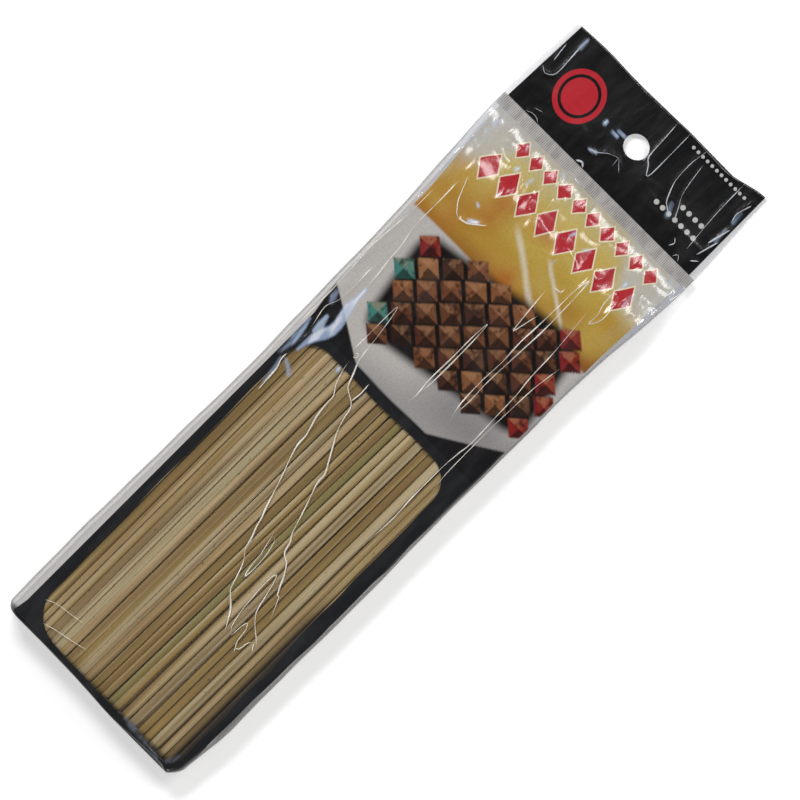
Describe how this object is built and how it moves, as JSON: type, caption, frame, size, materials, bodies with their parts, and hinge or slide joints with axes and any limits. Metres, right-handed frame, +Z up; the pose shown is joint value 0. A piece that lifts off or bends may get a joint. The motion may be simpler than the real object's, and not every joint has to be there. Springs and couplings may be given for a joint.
{
  "type": "skewer pack",
  "caption": "Flat sealed film pack of thin pointed bamboo skewers, with a see-through window, a ribbed heat seal and a drooping header with a round hang hole.",
  "frame": {"origin": "centre of the bounding box's underside, on the table under the pack", "axes": "+Y along the pack from its folded end to the header, +X across it to the right of the printed face, +Z up out of the printed face"},
  "size_m": [0.087, 0.2682, 0.0128],
  "materials": {
    "film_bag": "glossy, printed, with a clear window",
    "skewer_bamboo": "raw split bamboo",
    "inner_skewer_bamboo": "raw split bamboo"
  },
  "bodies": {
    "root": {"film_bag": "film_bag", "bottom_skewer_01": "skewer_bamboo", "bottom_skewer_02": "skewer_bamboo", "bottom_skewer_03": "skewer_bamboo", "bottom_skewer_04": "skewer_bamboo", "bottom_skewer_05": "skewer_bamboo", "bottom_skewer_06": "skewer_bamboo", "bottom_skewer_07": "skewer_bamboo", "bottom_skewer_08": "skewer_bamboo", "bottom_skewer_09": "skewer_bamboo", "bottom_skewer_10": "skewer_bamboo", "bottom_skewer_11": "skewer_bamboo", "bottom_skewer_12": "skewer_bamboo", "bottom_skewer_13": "skewer_bamboo", "bottom_skewer_14": "skewer_bamboo", "bottom_skewer_15": "skewer_bamboo", "bottom_skewer_16": "skewer_bamboo", "bottom_skewer_17": "skewer_bamboo", "bottom_skewer_18": "skewer_bamboo", "bottom_skewer_19": "skewer_bamboo", "bottom_skewer_20": "skewer_bamboo", "bottom_skewer_21": "skewer_bamboo", "bottom_skewer_22": "skewer_bamboo", "bottom_skewer_23": "skewer_bamboo", "bottom_skewer_24": "skewer_bamboo", "bottom_skewer_25": "skewer_bamboo", "top_skewer_01": "skewer_bamboo", "top_skewer_02": "skewer_bamboo", "top_skewer_03": "skewer_bamboo", "top_skewer_04": "skewer_bamboo", "top_skewer_05": "skewer_bamboo", "top_skewer_06": "skewer_bamboo", "top_skewer_07": "skewer_bamboo", "top_skewer_08": "skewer_bamboo", "top_skewer_09": "skewer_bamboo", "top_skewer_10": "skewer_bamboo", "top_skewer_11": "skewer_bamboo", "top_skewer_12": "skewer_bamboo", "top_skewer_13": "skewer_bamboo", "top_skewer_14": "skewer_bamboo", "top_skewer_15": "skewer_bamboo", "top_skewer_16": "skewer_bamboo", "top_skewer_17": "skewer_bamboo", "top_skewer_18": "skewer_bamboo", "top_skewer_19": "skewer_bamboo", "top_skewer_20": "skewer_bamboo", "top_skewer_21": "skewer_bamboo", "top_skewer_22": "skewer_bamboo", "top_skewer_23": "skewer_bamboo", "top_skewer_24": "skewer_bamboo", "top_skewer_25": "skewer_bamboo", "lower_middle_skewers": "inner_skewer_bamboo", "upper_middle_skewers": "inner_skewer_bamboo"}
  },
  "joints": []
}
